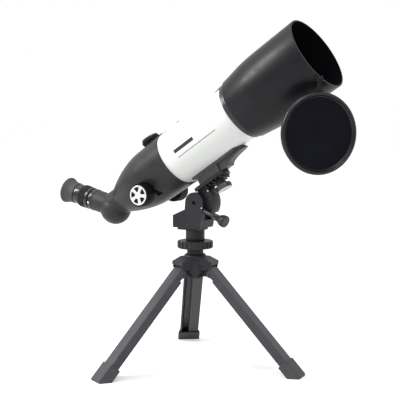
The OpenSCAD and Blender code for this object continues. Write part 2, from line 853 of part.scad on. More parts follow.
// Depth of the crown lens's front curve out to radius r
function lens_sag(r) = crown_curve - sqrt(crown_curve * crown_curve - r * r);

module crown_lens() {
    sag = lens_sag(lens_r);
    color(glass) scope_frame() intersection() {
        translate([crown_station, 0, 0]) rotate([0, 90, 0])
            cylinder(h = crown_t + sag, r = lens_r, $fn = fine);
        translate([crown_station + crown_t + sag - crown_curve, 0, 0])
            sphere(r = crown_curve, $fn = fine);
    }
}

module lens_spacer() {
    color(steel) scope_frame() translate([lens_station + flint_t, 0, 0]) rotate([0, 90, 0])
        ring(lens_r, aperture_r + 0.5, spacer_t);
}

module flint_lens() {
    color(glass) scope_frame() translate([lens_station, 0, 0]) rotate([0, 90, 0])
        cylinder(h = flint_t, r = lens_r, $fn = fine);
}

module retaining_ring() {
    color(black) scope_frame() translate([ring_station + 0.1, 0, 0]) rotate([0, 90, 0])
        ring(lens_r, aperture_r, retainer_t);
}

// ---------- hood and cap ----------

module lens_hood() {
    wall_in = hood_back_r - 1.8;
    color(black) scope_frame() {
        difference() {
            union() {
                turned() polygon([
                    [cell_step_r + seat_fit, hood_station], [hood_back_r - 0.6, hood_station],
                    [hood_back_r, hood_station + 0.8], [hood_cone_r, cone_station],
                    [hood_mouth_r, mouth_station - 0.8], [hood_mouth_r - 0.6, mouth_station],
                    [hood_bore_r, mouth_station], [hood_bore_r, cone_station],
                    [wall_in, hood_station + hood_lip], [cell_step_r + seat_fit, hood_station + hood_lip]]);
                cap_ears();
            }
            lug_frame() cross_pin(cap_pin_r + seat_fit, -10, 10);
        }
    }
}

// Pivot of the cap's strap in the tube's frame; its Y is the pin and its Z is straight up
module lug_frame() {
    translate([lug_station, -sin(lug_turn) * lug_out, cos(lug_turn) * lug_out])
        rotate([0, tilt_rest, 0]) rotate([0, 0, -cap_facing]) children();
}

// Two small ears at the rim that carry the strap's pin
module cap_ears() {
    reach = lug_out - hood_bore_r - 0.6;
    difference() {
        lug_frame() for (side = [-1, 1]) translate([0, side * 4.3, 0]) {
            cross_pin(eye_r, -1, 1);
            rotate([0, 40, 0]) translate([-reach, -1, -eye_r]) cube([reach, 2, 2 * eye_r]);
        }
        along_tube(hood_bore_r + 0.6);
    }
}

module cap_pin() {
    color(steel) scope_frame() lug_frame() cross_pin(cap_pin_r, -5.2, 5.2);
}

// Moulded strap from the pin down to the cap's rim
module cap_strap() {
    color(rubber) scope_frame() lug_frame() difference() {
        union() {
            cross_pin(eye_r, -strap_w / 2, strap_w / 2);
            translate([-strap_t / 2, -strap_w / 2, -strap_l - 2]) cube([strap_t, strap_w, strap_l + 2]);
            translate([-strap_t / 2, -strap_end_w / 2, -strap_l - 2]) cube([strap_t, strap_end_w, 4]);
        }
        cross_pin(cap_pin_r + run_fit, -9, 9);
        translate([-strap_t, 0, -strap_l - cap_r]) rotate([0, 90, 0])
            cylinder(h = 2 * strap_t, r = cap_r + seat_fit, $fn = fine);
    }
}

// The cap hangs facing along X of the lug's frame, its weight right below the pin
module lens_cap() {
    plug_r = hood_bore_r - 0.4;
    plug_in = plug_r - 1.8;
    color(black) scope_frame() lug_frame() translate([-0.1, 0, -strap_l - cap_r])
        rotate([0, 90, 0]) rotate_extrude($fn = fine) polygon([
            [0, cap_flange_t - 2.6], [cap_r - 8, cap_flange_t - 2.6], [cap_r - 7, cap_flange_t],
            [cap_r - 1.4, cap_flange_t], [cap_r, cap_flange_t - 1.2], [cap_r, 0.8],
            [cap_r - 0.8, 0], [plug_r, 0], [plug_r, -cap_plug_h], [plug_in, -cap_plug_h],
            [plug_in, -0.6], [0, -0.6]]);
}

// ---------- rear housing ----------

// Outer radius of the housing at a station
function housing_r(x) = x > shoulder_station
    ? shoulder_r + (rim_r - shoulder_r) * (x - shoulder_station) / (rim_station - shoulder_station)
    : shoulder_r - dome_drop
        * pow((shoulder_station - x) / (shoulder_station - back_station), dome_power);

function steps(a, b, n) = [for (i = [0:n]) a + (b - a) * i / n];

module housing_solid() {
    turned() polygon(concat([[0, back_station], [0, rim_station]],
        [for (x = steps(rim_station, shoulder_station, 3)) [housing_r(x), x]],
        [for (x = steps(shoulder_station - 4, back_station, 16)) [housing_r(x), x]]));
}

module housing_void() {
    turned() polygon(concat(
        [[0, rim_station + 1], [tube_r + seat_fit, rim_station + 1], [tube_r + seat_fit, tube_back]],
        [for (x = steps(tube_back, shoulder_station, 2)) [housing_r(x) - shell_wall, x]],
        [for (x = steps(shoulder_station - 6, back_station + 6, 12)) [housing_r(x) - shell_wall * 1.15, x]],
        [[0, back_station + 6]]));
}

// Outline of the recess around a focus knob, pointed at the front
module pocket_outline(r) {
    union() {
        circle(r = r, $fn = fine);
        polygon([[0, r], [knob_r + 5 + 1.6 * (r - knob_r), -9], [0, -r]]);
    }
}

// Outline of the deep corner ahead of a focus knob, grown evenly by a wall
function notch_points(wall) = let (k = knob_r * (1 + wall / 4.6)) [
    for (p = [[-0.02, 0.63], [0.39, -0.2], [-0.41, -0.31]])
        [0.91 * knob_r + k * p[0], -0.52 * knob_r + k * p[1]]];

module rear_housing() {
    pocket_y = knob_in - 1.2;
    pocket_r = knob_r + 1.4;
    notch_y = pocket_y - 12;
    guide_r = draw_r + 2.3;
    color(black) scope_frame() difference() {
        union() {
            difference() {
                housing_solid();
                housing_void();
                for (side = [-1, 1]) translate([0, side * (pocket_y + 10), 0])
                    at_focus() slab(20) pocket_outline(pocket_r);
                for (side = [-1, 1]) translate([0, side * (notch_y + 15), 0])
                    at_focus() slab(30) polygon(notch_points(0));
            }
            intersection() {
                housing_solid();
                for (side = [-1, 1]) at_focus() difference() {
                    union() {
                        translate([0, side * (pocket_y + 3), 0]) slab(10) pocket_outline(pocket_r + 2);
                        translate([0, side * (notch_y + 8), 0]) slab(20) polygon(notch_points(2));
                    }
                    translate([0, side * (pocket_y + 10), 0]) slab(20) pocket_outline(pocket_r);
                    translate([0, side * (notch_y + 15), 0]) slab(30) polygon(notch_points(0));
                }
            }
            translate([back_station, 0, 0]) rotate([0, 90, 0]) cylinder(h = guide_l, r = guide_r);
            rim_beaks();
        }
        translate([back_station - 1, 0, 0]) rotate([0, 90, 0])
            cylinder(h = guide_l + 6, r = draw_r + run_fit);
        translate([tube_back, 0, 0]) rotate([0, 90, 0]) cylinder(h = big, r = tube_r + seat_fit);
        // way for the rack through the guide
        translate([back_station + 20, -gear_w / 2 - gap, -draw_r - 2])
            cube([40, gear_w + 2 * gap, 6]);
        at_focus() cross_pin(focus_shaft_r + run_fit, -big, big);
        rotate([lock_turn, 0, 0]) translate([lock_station, 0, 40]) cylinder(h = 20, r = 3 + run_fit);
    }
}

// Small points of the rim, at the top and the bottom
module rim_beaks() {
    for (side = [0, 180]) rotate([side, 0, 0]) slab(3) polygon([
        [rim_station - 8, rim_r], [rim_station - 4, tube_r + 0.8],
        [rim_station - skin, tube_r + 0.4], [rim_station + 5, tube_r + 2.8]]);
}

module at_focus() {
    translate([focus_station, 0, -shaft_drop]) children();
}

// Z runs outwards through the lock knob
module at_lock() {
    scope_frame() rotate([lock_turn, 0, 0]) translate([lock_station, 0, 0]) children();
}

// Five-spoked wheel, seen from its face
module spoked_disc(r, t) {
    difference() {
        cylinder(h = t, r = r);
        for (i = [0:4]) rotate([0, 0, i * 72]) translate([0, 0, -1]) linear_extrude(t + 2)
            polygon([[0.38 * r, -0.12 * r], [0.8 * r, -0.32 * r], [0.84 * r, 0],
                [0.8 * r, 0.32 * r], [0.38 * r, 0.12 * r]]);
    }
}

// Ribbed barrel of a knob with a recess for its disc in the outer face
module knob_body(r, h, disc_r, disc_t) {
    difference() {
        union() {
            cylinder(h = h, r = r - 0.5, $fn = fine);
            for (i = [0:23]) rotate([0, 0, i * 15]) translate([r - 2, -0.9, 0.8])
                cube([2, 1.8, h - 1.8]);
        }
        translate([0, 0, h - disc_t]) cylinder(h = disc_t + 1, r = disc_r + seat_fit);
    }
}

lock_base = rim_r + 0.5;

module lock_knob() {
    color(black) at_lock() difference() {
        translate([0, 0, lock_base]) knob_body(lock_r, lock_h, lock_r - 1.6, 1);
        translate([0, 0, lock_base - 1]) cylinder(h = lock_h, r = 3 + seat_fit);
    }
}

// Bright crown of the lock knob, notched around its edge
module lock_disc() {
    color(silver) at_lock() translate([0, 0, lock_base + lock_h - 1]) difference() {
        spoked_disc(lock_r - 1.6, crown_h);
        for (i = [0:14]) rotate([0, 0, i * 24]) translate([lock_r - 2.6, -0.9, 1.4])
            cube([3, 1.8, crown_h]);
    }
}

module lock_screw() {
    color(steel) at_lock() translate([0, 0, tube_r + gap])
        cylinder(h = lock_base + lock_h - 1 - tube_r - gap, r = 3);
}

// ---------- focuser ----------

module focus_shaft() {
    color(steel) scope_frame() at_focus()
        cross_pin(focus_shaft_r, -knob_reach + 3, knob_reach - 3);
}

// A toothed wheel's outline as points: root and tip of each tooth in turn
module pinion() {
    root = pinion_r - 1.25 * gear_module;
    tip = pinion_r + 0.85 * gear_module;
    pitch = 360 / pinion_teeth;
    color(steel) scope_frame() at_focus() rotate([90, 0, 0])
        translate([0, 0, -gear_w / 2]) linear_extrude(gear_w) difference() {
            polygon([for (i = [0:pinion_teeth - 1]) let (a = 90 + pitch / 2 + i * pitch)
                for (p = [[root, -9.2], [tip, -3], [tip, 3], [root, 9.2]])
                    [p[0] * cos(a + p[1]), p[0] * sin(a + p[1])]]);
            circle(r = focus_shaft_r + seat_fit);
        }
}

module focus_knob(side) {
    color(black) scope_frame() at_focus() rotate([-90 * side, 0, 0]) difference() {
        translate([0, 0, knob_in]) knob_body(knob_r, knob_l - 0.5, knob_r - 2.6, 1);
        cylinder(h = knob_reach - 3 + skin, r = focus_shaft_r + seat_fit);
    }
}

module focus_disc(side) {
    color(silver) scope_frame() at_focus() rotate([-90 * side, 0, 0])
        translate([0, 0, knob_reach - 1.5]) spoked_disc(knob_r - 2.6, 1.5);
}

module knob_right() { focus_knob(-1); }
module knob_left() { focus_knob(1); }
module disc_right() { focus_disc(-1); }
module disc_left() { focus_disc(1); }

draw_back = back_station - 6;
rack_front = focus_station + 34;
rack_l = 42;
rack_in = draw_r - 0.9;

module draw_tube() {
    color(black) scope_frame() difference() {
        translate([draw_back, 0, 0]) rotate([0, 90, 0])
            ring(draw_r, draw_r - draw_wall, draw_front - draw_back);
        translate([rack_front - rack_l - seat_fit, -gear_w / 2 - seat_fit, -draw_r - 1])
            cube([rack_l + 2 * seat_fit, gear_w + 2 * seat_fit, draw_r + 1 - rack_in]);
    }
}

// Toothed strip let into the bottom of the draw tube
module focus_rack() {
    pitch = PI * gear_module;
    line = draw_r + 1;
    root = line - 1.25 * gear_module;
    tip = line + 0.85 * gear_module;
    color(steel) scope_frame() slab(gear_w) union() {
        translate([rack_front - rack_l, -root]) square([rack_l, root - rack_in]);
        for (i = [-3:12]) translate([focus_station + i * pitch, 0])
            polygon([[-0.72, -root + skin], [-0.26, -tip], [0.26, -tip], [0.72, -root + skin]]);
    }
}

// ---------- elbow and eyepiece ----------

bulb_station = elbow_station + 1;
cut_station = back_station - gap;
barrel_in = 24;
prism_r = 11;

// Outline of the prism, grown by g; origin where the light bends
module prism_outline(g) {
    q = 12 + g;
    w = prism_r + g;
    c = cos(bend);
    d = sin(bend);
    polygon([[q, -w], [q, w], [-q * c + w * d, q * d + w * c],
        [-q * c - w * d, q * d - w * c]]);
}

module elbow() {
    color(black) scope_frame() difference() {
        union() {
            intersection() {
                translate([bulb_station, 0, -bulb_drop]) sphere(r = bulb_r, $fn = fine);
                translate([cut_station - big, -big / 2, -big / 2]) cube(big);
            }
            translate([elbow_station, 0, 0]) rotate([0, 90, 0])
                cylinder(h = cut_station - elbow_station, r = draw_r + 1.8, $fn = fine);
            at_bend() cylinder(h = holder_l - 1.4, r = holder_r, $fn = fine);
            at_bend() cylinder(h = holder_l, r = holder_r - 1, $fn = fine);
        }
        translate([draw_back, 0, 0]) rotate([0, 90, 0]) cylinder(h = 20, r = draw_r + seat_fit);
        translate([elbow_station, 0, 0]) rotate([0, 90, 0]) cylinder(h = 20, r = prism_r);
        translate([elbow_station, 0, 0]) slab(2 * prism_r + 0.2) prism_outline(0.1);
        at_bend() cylinder(h = holder_l + 1, r = prism_r);
        at_bend() translate([0, 0, barrel_in - 0.5]) cylinder(h = holder_l, r = barrel_r + run_fit);
        at_bend() rotate([0, 0, holder_screw_turn]) translate([0, 0, barrel_in + 8])
            rotate([0, 90, 0]) cylinder(h = 30, r = 1.5 + run_fit);
    }
}

holder_screw_turn = 75;

// Z runs out through the eyepiece; X is its upper side
module at_bend() {
    translate([elbow_station, 0, 0]) rotate([0, bend - 90, 0]) children();
}

module prism() {
    color(glass) scope_frame() translate([elbow_station, 0, 0])
        slab(2 * prism_r) prism_outline(0);
}

// Thumbscrew that holds the eyepiece in its holder
module holder_screw() {
    color(steel) scope_frame() at_bend() rotate([0, 0, holder_screw_turn])
        translate([0, 0, barrel_in + 8]) rotate([0, 90, 0]) {
            translate([0, 0, barrel_r + gap]) cylinder(h = 3.6, r = 1.5);
            translate([0, 0, holder_r + gap]) cylinder(h = 3, r = 3);
        }
}

ring_in = holder_l + 4;
ring_out = ring_in + 19;
waist_out = ring_out + 7;

module eyepiece_barrel() {
    color(silver) scope_frame() at_bend() translate([0, 0, barrel_in])
        ring(barrel_r, barrel_r - 1.2, ring_in - 2 - barrel_in);
}

module eyepiece_body() {
    inner = body_r - 3;
    color(black) scope_frame() at_bend() rotate_extrude($fn = fine) polygon([
        [inner, ring_in - 8], [barrel_r - 1.2 - seat_fit, ring_in - 8],
        [barrel_r - 1.2 - seat_fit, ring_in - 2], [barrel_r + 0.7, ring_in - 2],
        [barrel_r + 0.7, ring_in], [body_r, ring_in], [body_r, eye_l - 3],
        [inner - 3, eye_l - 3], [inner - 3, eye_l - 5], [inner, eye_l - 5]]);
}

// Ribbed rubber ring around the eyepiece
module grip_ring() {
    color(rubber) scope_frame() at_bend() difference() {
        union() {
            translate([0, 0, ring_in]) cylinder(h = ring_out - ring_in, r = grip_ring_r - 0.7);
            for (i = [0:23]) rotate([0, 0, i * 15])
                translate([grip_ring_r - 2, -1, ring_in + 1.4])
                    cube([2, 2, ring_out - ring_in - 2.8]);
        }
        cylinder(h = big, r = body_r + seat_fit);
    }
}

module field_lens() {
    color(glass) scope_frame() at_bend() translate([0, 0, ring_in + 2])
        cylinder(h = 4, r = body_r - 3 - seat_fit);
}

module eye_lens() {
    color(glass) scope_frame() at_bend() translate([0, 0, eye_l - 10])
        cylinder(h = 5, r = body_r - 3 - seat_fit);
}

// Soft rubber cup, flared and folded back a little at its rim
module eyecup() {
    color(rubber) scope_frame() at_bend() rotate_extrude($fn = fine) polygon([
        [body_r + seat_fit, waist_out], [body_r + 1.8, waist_out], [body_r + 2.6, waist_out + 1.5],
        [body_r + 3, waist_out + 10], [cup_r - 1, eye_l - 7], [cup_r, eye_l - 4],
        [cup_r, eye_l - 1], [cup_r - 0.8, eye_l], [cup_r - 2.4, eye_l], [cup_r - 3.4, eye_l - 3],
        [body_r + seat_fit, eye_l - 5]]);
}

hub();
leg_pins();
leg_a();
leg_b();
leg_c();
foot_a();
foot_b();
foot_c();
lock_ring();
column();
head_block();
tilt_pin();
clamp_stem();
clamp_grip();
tilt_platform();
platform_pad();
camera_screw();
screw_wheel();
screw_disc();
tube_foot();
foot_screws();
main_tube();
tube_baffle();
finder_shoe();
top_screw();
objective_cell();
crown_lens();
lens_spacer();
flint_lens();
retaining_ring();
lens_hood();
cap_pin();
cap_strap();
lens_cap();
rear_housing();
lock_knob();
lock_disc();
lock_screw();
focus_shaft();
pinion();
knob_right();
knob_left();
disc_right();
disc_left();
draw_tube();
focus_rack();
elbow();
prism();
holder_screw();
eyepiece_barrel();
eyepiece_body();
grip_ring();
field_lens();
eye_lens();
eyecup();
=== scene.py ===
"""A small refractor telescope with an elbow eyepiece on a folding tabletop tripod."""

import math

import bmesh
import bpy
from mathutils import Matrix, Vector


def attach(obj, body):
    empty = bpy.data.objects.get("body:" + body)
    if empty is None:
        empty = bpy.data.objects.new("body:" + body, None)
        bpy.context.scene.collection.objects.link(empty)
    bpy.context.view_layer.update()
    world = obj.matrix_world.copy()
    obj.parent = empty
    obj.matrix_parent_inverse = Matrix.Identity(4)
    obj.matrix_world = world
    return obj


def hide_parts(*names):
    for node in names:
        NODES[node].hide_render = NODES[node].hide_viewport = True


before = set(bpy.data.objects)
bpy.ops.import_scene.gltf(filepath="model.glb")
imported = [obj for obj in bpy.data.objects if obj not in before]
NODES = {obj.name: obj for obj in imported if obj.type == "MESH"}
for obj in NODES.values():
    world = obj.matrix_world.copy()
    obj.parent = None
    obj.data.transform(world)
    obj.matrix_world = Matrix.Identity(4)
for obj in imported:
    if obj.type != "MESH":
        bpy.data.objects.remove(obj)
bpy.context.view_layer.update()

MM = 0.001

# ---------------------------------------------------------------- sizes

# Millimetres and degrees, as the CAD has them.
PAN = -6.5
TILT = 33.4
TILT_AXIS = (10, 0, 259.5)
TUBE_FROM_AXIS = (39.9, 0, 78.8)
TUBE_R = 44.8
TUBE_BORE_R = 44.4
ELBOW_STATION = -190
ELBOW_BEND = 46.8
HOOD_MOUTH = 247.0
HOOD_BORE_R = 54.9
LENS_RING_R = 48.2
LUG_STATION = 246
LUG_R = 61.5
LUG_ANGLE = 137
LUG_TURN = -38
CAP_HANG = 75
EYEPIECE_BORE_R = 14.55

# ---------------------------------------------------------------- frames

HEAD = Matrix.Rotation(math.radians(PAN), 4, "Z")
HEAD_MM = Matrix.Scale(MM, 4) @ HEAD
SCOPE = (
    HEAD_MM
    @ Matrix.Translation(TILT_AXIS)
    @ Matrix.Rotation(math.radians(-TILT), 4, "Y")
    @ Matrix.Translation(TUBE_FROM_AXIS)
)
TUBE_AXIS = SCOPE @ Matrix.Rotation(math.radians(90), 4, "Y")
BEND = (
    SCOPE
    @ Matrix.Translation((ELBOW_STATION, 0, 0))
    @ Matrix.Rotation(math.radians(ELBOW_BEND - 90), 4, "Y")
)
LUG_SIDE = math.radians(LUG_ANGLE)
LUG_POINT = SCOPE @ Vector((
    LUG_STATION, -LUG_R * math.sin(LUG_SIDE), LUG_R * math.cos(LUG_SIDE)))
LUG = (
    HEAD_MM
    @ Matrix.Translation(HEAD_MM.inverted() @ LUG_POINT)
    @ Matrix.Rotation(math.radians(LUG_TURN), 4, "Z")
)
CAP_PLACE = (
    LUG
    @ Matrix.Translation((-0.1, 0, -CAP_HANG))
    @ Matrix.Rotation(math.radians(90), 4, "Y")
)

# ---------------------------------------------------------------- materials


def principled(name, color, rough, metallic=0.0, specular=0.5):
    """A new material, its node tree and its shader."""
    mat = bpy.data.materials.new(name)
    mat.use_nodes = True
    bsdf = mat.node_tree.nodes["Principled BSDF"]
    bsdf.inputs["Base Color"].default_value = (*color, 1)
    bsdf.inputs["Roughness"].default_value = rough
    bsdf.inputs["Metallic"].default_value = metallic
    bsdf.inputs["Specular IOR Level"].default_value = specular
    return mat, mat.node_tree, bsdf


def coordinates(tree, scale=(1, 1, 1), turn=None):
    """Object coordinates in metres, turned into the piece's own frame and stretched."""
    nodes, links = tree.nodes, tree.links
    coord = nodes.new("ShaderNodeTexCoord")
    mapping = nodes.new("ShaderNodeMapping")
    mapping.vector_type = "TEXTURE"
    if turn is not None:
        mapping.inputs["Rotation"].default_value = turn.to_euler("XYZ")
    links.new(coord.outputs["Object"], mapping.inputs["Vector"])
    stretch = nodes.new("ShaderNodeMapping")
    stretch.inputs["Scale"].default_value = scale
    links.new(mapping.outputs["Vector"], stretch.inputs["Vector"])
    return stretch.outputs["Vector"]


def noise(tree, vector, scale, detail=3.0, rough=0.55):
    """Noise of about 0.3 to 0.7, with so many lumps to the metre."""
    node = tree.nodes.new("ShaderNodeTexNoise")
    node.inputs["Scale"].default_value = scale
    node.inputs["Detail"].default_value = detail
    node.inputs["Roughness"].default_value = rough
    tree.links.new(vector, node.inputs["Vector"])
    return node.outputs["Fac"]


def remap(tree, value, low, high, start=0.3, end=0.7):
    """Stretches a value from one range to another."""
    node = tree.nodes.new("ShaderNodeMapRange")
    node.inputs["From Min"].default_value = start
    node.inputs["From Max"].default_value = end
    node.inputs["To Min"].default_value = low
    node.inputs["To Max"].default_value = high
    tree.links.new(value, node.inputs["Value"])
    return node.outputs["Result"]


def tint(tree, value, dark, light):
    """A colour between two, by a value of 0 to 1."""
    node = tree.nodes.new("ShaderNodeMix")
    node.data_type = "RGBA"
    tree.links.new(value, node.inputs[0])
    node.inputs[6].default_value = (*dark, 1)
    node.inputs[7].default_value = (*light, 1)
    return node.outputs[2]


def bump(tree, bsdf, height, strength, distance):
    """Fine relief on the shader's normal."""
    node = tree.nodes.new("ShaderNodeBump")
    node.inputs["Strength"].default_value = strength
    node.inputs["Distance"].default_value = distance
    tree.links.new(height, node.inputs["Height"])
    tree.links.new(node.outputs["Normal"], bsdf.inputs["Normal"])


def surface(
    name, dark, light, rough, grain=900.0, grain_depth=0.00003, grain_strength=0.25,
    metallic=0.0, specular=0.5, stretch=(1, 1, 1), turn=None, patch=25.0, coat=0.0,
):
    """A satin or painted surface: patchy colour and roughness, with a fine grain."""
    mat, tree, bsdf = principled(name, light, rough[1], metallic, specular)
    vector = coordinates(tree, stretch, turn)
    blotch = remap(tree, noise(tree, vector, patch, 4.0), 0.0, 1.0)
    tree.links.new(tint(tree, blotch, dark, light), bsdf.inputs["Base Color"])
    cloud = noise(tree, vector, patch * 3.1, 5.0, 0.6)
    tree.links.new(remap(tree, cloud, rough[0], rough[1]), bsdf.inputs["Roughness"])
    bump(tree, bsdf, noise(tree, vector, grain, 2.0), grain_strength, grain_depth)
    if coat:
        bsdf.inputs["Coat Weight"].default_value = coat
        bsdf.inputs["Coat Roughness"].default_value = 0.08
    return mat


SCOPE_TURN = SCOPE.to_3x3().normalized()
HEAD_TURN = HEAD.to_3x3()

HOOD = surface("hood_black", (0.0030, 0.0030, 0.0045), (0.0070, 0.0070, 0.0090), (0.30, 0.42),
               turn=SCOPE_TURN, grain=620, grain_strength=0.4, specular=0.22)
CELL = surface("cell_black", (0.014, 0.014, 0.015), (0.024, 0.024, 0.026), (0.26, 0.36),
               turn=SCOPE_TURN, grain=620, specular=0.5)
HOOD_IN = surface("hood_inside", (0.002, 0.002, 0.003), (0.003, 0.003, 0.004), (0.8, 0.95),
                  specular=0.05)
HOUSING = surface("housing_black", (0.013, 0.013, 0.014), (0.020, 0.020, 0.022), (0.32, 0.44),
                  turn=SCOPE_TURN, grain=700, specular=0.3)
ELBOW = surface("elbow_black", (0.016, 0.016, 0.018), (0.026, 0.026, 0.028), (0.42, 0.56),
                turn=SCOPE_TURN, grain=480, grain_depth=0.00006, grain_strength=0.5, specular=0.3)
GLOSS = surface("gloss_black", (0.006, 0.006, 0.007), (0.010, 0.010, 0.012), (0.10, 0.16),
                turn=SCOPE_TURN, grain=350, grain_depth=0.000004, grain_strength=0.1, specular=0.5)
GUN = surface("dark_barrel", (0.06, 0.06, 0.065), (0.10, 0.10, 0.11), (0.16, 0.24),
              turn=SCOPE_TURN, grain=900, grain_depth=0.00001, metallic=1.0)
KNOB = surface("knob_black", (0.004, 0.004, 0.005), (0.008, 0.008, 0.009), (0.42, 0.56),
               specular=0.12)
WHITE = surface("tube_white", (0.78, 0.79, 0.765), (0.82, 0.83, 0.81), (0.24, 0.34),
                turn=SCOPE_TURN, grain=220, grain_depth=0.00001, grain_strength=0.12,
                stretch=(0.25, 1, 1))
FOOT_BLACK = surface("foot_black", (0.036, 0.036, 0.040), (0.058, 0.058, 0.064), (0.36, 0.5),
                     turn=SCOPE_TURN, grain=600, specular=0.4)
HEAD_MAT = surface("head_charcoal", (0.007, 0.007, 0.009), (0.015, 0.015, 0.018), (0.40, 0.54),
                   turn=HEAD_TURN, grain=520, grain_depth=0.00005, grain_strength=0.45,
                   specular=0.3)
HUB_MAT = surface("hub_charcoal", (0.012, 0.012, 0.014), (0.022, 0.022, 0.025), (0.40, 0.53),
                  grain=520, grain_depth=0.00005, grain_strength=0.4, specular=0.28)
GRIP = surface("grip_black", (0.007, 0.007, 0.009), (0.013, 0.013, 0.016), (0.3, 0.42),
               grain=520, specular=0.35)
LEG = surface("leg_grey", (0.038, 0.039, 0.044), (0.054, 0.055, 0.061), (0.38, 0.5),
              grain=420, grain_depth=0.00004, grain_strength=0.35, specular=0.35)
RUBBER = surface("rubber_black", (0.012, 0.012, 0.013), (0.020, 0.020, 0.022), (0.62, 0.78),
                 grain=420, grain_depth=0.00008, grain_strength=0.6, specular=0.2)
STRAP = surface("strap_black", (0.006, 0.006, 0.007), (0.010, 0.010, 0.011), (0.5, 0.65),
                specular=0.15)
CUP = surface("cup_rubber", (0.044, 0.046, 0.048), (0.066, 0.068, 0.072), (0.55, 0.7),
              turn=SCOPE_TURN, grain=380, grain_depth=0.00007, grain_strength=0.5, specular=0.25)
SHOE = surface("shoe_rubber", (0.046, 0.047, 0.050), (0.066, 0.067, 0.070), (0.5, 0.66),
               grain=420, grain_depth=0.00006, grain_strength=0.5, specular=0.3)
SILVER = surface("silver_trim", (0.74, 0.74, 0.75), (0.84, 0.84, 0.85), (0.18, 0.28),
                 grain=900, grain_depth=0.00001, grain_strength=0.2, metallic=1.0, patch=120)
STEEL = surface("steel_screw", (0.50, 0.50, 0.52), (0.62, 0.62, 0.64), (0.25, 0.38),
                grain=1200, grain_depth=0.00001, grain_strength=0.2, metallic=1.0, patch=150)
DISC = surface("wheel_disc", (0.30, 0.30, 0.31), (0.52, 0.52, 0.53), (0.30, 0.46),
               grain=900, grain_depth=0.00002, metallic=1.0, patch=160)
WHEEL = surface("wheel_rim", (0.055, 0.055, 0.058), (0.105, 0.105, 0.110), (0.26, 0.4),
                grain=900, grain_depth=0.00002, metallic=0.5, patch=160)
TOP_SCREW = surface("top_screw_grey", (0.10, 0.10, 0.105), (0.18, 0.18, 0.185), (0.3, 0.45),
                    grain=900, grain_depth=0.00001, metallic=0.6, patch=160)
DARK_PIN = surface("dark_pin", (0.030, 0.024, 0.022), (0.055, 0.042, 0.038), (0.3, 0.42),
                   grain=1200, grain_depth=0.00001, metallic=0.6, patch=150)
BRASS = surface("gear_brass", (0.58, 0.44, 0.20), (0.70, 0.56, 0.28), (0.25, 0.4),
                grain=1200, grain_depth=0.00001, metallic=1.0, patch=150)
INK = surface("print_grey", (0.030, 0.030, 0.032), (0.045, 0.045, 0.048), (0.45, 0.6),
              specular=0.2)
CAP = surface("cap_black", (0.002, 0.002, 0.0035), (0.005, 0.005, 0.007), (0.20, 0.30),
              grain=500, grain_depth=0.00002, grain_strength=0.2, specular=0.36)
CAP_FACE = surface("cap_face", (0.0022, 0.0022, 0.0052), (0.0042, 0.0042, 0.0090), (0.5, 0.66),
                   grain=600, grain_depth=0.00004, grain_strength=0.4, specular=0.08)


def glass(name, color):
    """Clear lens glass with a faint blue coating."""
    mat, tree, bsdf = principled(name, color, 0.02)
    bsdf.inputs["Transmission Weight"].default_value = 1.0
    bsdf.inputs["IOR"].default_value = 1.52
    bsdf.inputs["Coat Weight"].default_value = 0.3
    bsdf.inputs["Coat Tint"].default_value = (0.35, 0.55, 0.75, 1)
    vector = coordinates(tree)
    tree.links.new(remap(tree, noise(tree, vector, 40, 4), 0.01, 0.05), bsdf.inputs["Roughness"])
    return mat


GLASS = glass("coated_glass", (0.86, 0.92, 0.94))

LOOKS = {
    "hub": HUB_MAT, "leg_pins": DARK_PIN, "leg_a": LEG, "leg_b": LEG, "leg_c": LEG,
    "foot_a": SHOE, "foot_b": SHOE, "foot_c": SHOE, "lock_ring": HUB_MAT, "column": HEAD_MAT,
    "head_block": HEAD_MAT, "tilt_pin": KNOB, "clamp_stem": GRIP, "clamp_grip": GRIP,
    "tilt_platform": HEAD_MAT, "platform_pad": RUBBER, "camera_screw": STEEL,
    "screw_wheel": WHEEL, "screw_disc": DISC, "tube_foot": FOOT_BLACK, "foot_screws": STEEL,
    "main_tube": WHITE, "tube_baffle": HOOD_IN, "finder_shoe": FOOT_BLACK, "top_screw": TOP_SCREW,
    "objective_cell": CELL, "crown_lens": GLASS, "lens_spacer": HOOD_IN, "flint_lens": GLASS,
    "retaining_ring": HOOD_IN, "lens_hood": HOOD, "cap_pin": STRAP, "cap_strap": STRAP,
    "lens_cap": CAP, "rear_housing": HOUSING, "lock_knob": KNOB, "lock_disc": SILVER,
    "lock_screw": STEEL, "focus_shaft": STEEL, "pinion": BRASS, "knob_right": KNOB,
    "knob_left": KNOB, "disc_right": SILVER, "disc_left": SILVER, "draw_tube": HOOD_IN,
    "focus_rack": BRASS, "elbow": ELBOW, "prism": GLASS, "holder_screw": STEEL,
    "eyepiece_barrel": GUN, "eyepiece_body": GLOSS, "grip_ring": GLOSS,
    "field_lens": GLASS, "eye_lens": GLASS, "eyecup": CUP,
}

for name, look in LOOKS.items():
    mesh = NODES[name].data
    mesh.materials.clear()
    mesh.materials.append(look)

# ---------------------------------------------------------------- inner faces


def paint(obj, second, place, test):
    """A second material for the faces whose middle and normal, seen from a frame, pass a test."""
    back = place.inverted()
    turn = back.to_3x3().normalized()
    obj.data.materials.append(second)
    for face in obj.data.polygons:
        if test(back @ face.center, turn @ face.normal):
            face.material_index = 1


paint(NODES["main_tube"], HOOD_IN, SCOPE, lambda p, n: math.hypot(p.y, p.z) < TUBE_BORE_R)
paint(NODES["lock_disc"], DARK_PIN, SCOPE @ Matrix.Rotation(math.radians(3), 4, "X"),
      lambda p, n: abs(n.z) < 0.5)


# ---------------------------------------------------------------- mesh helpers


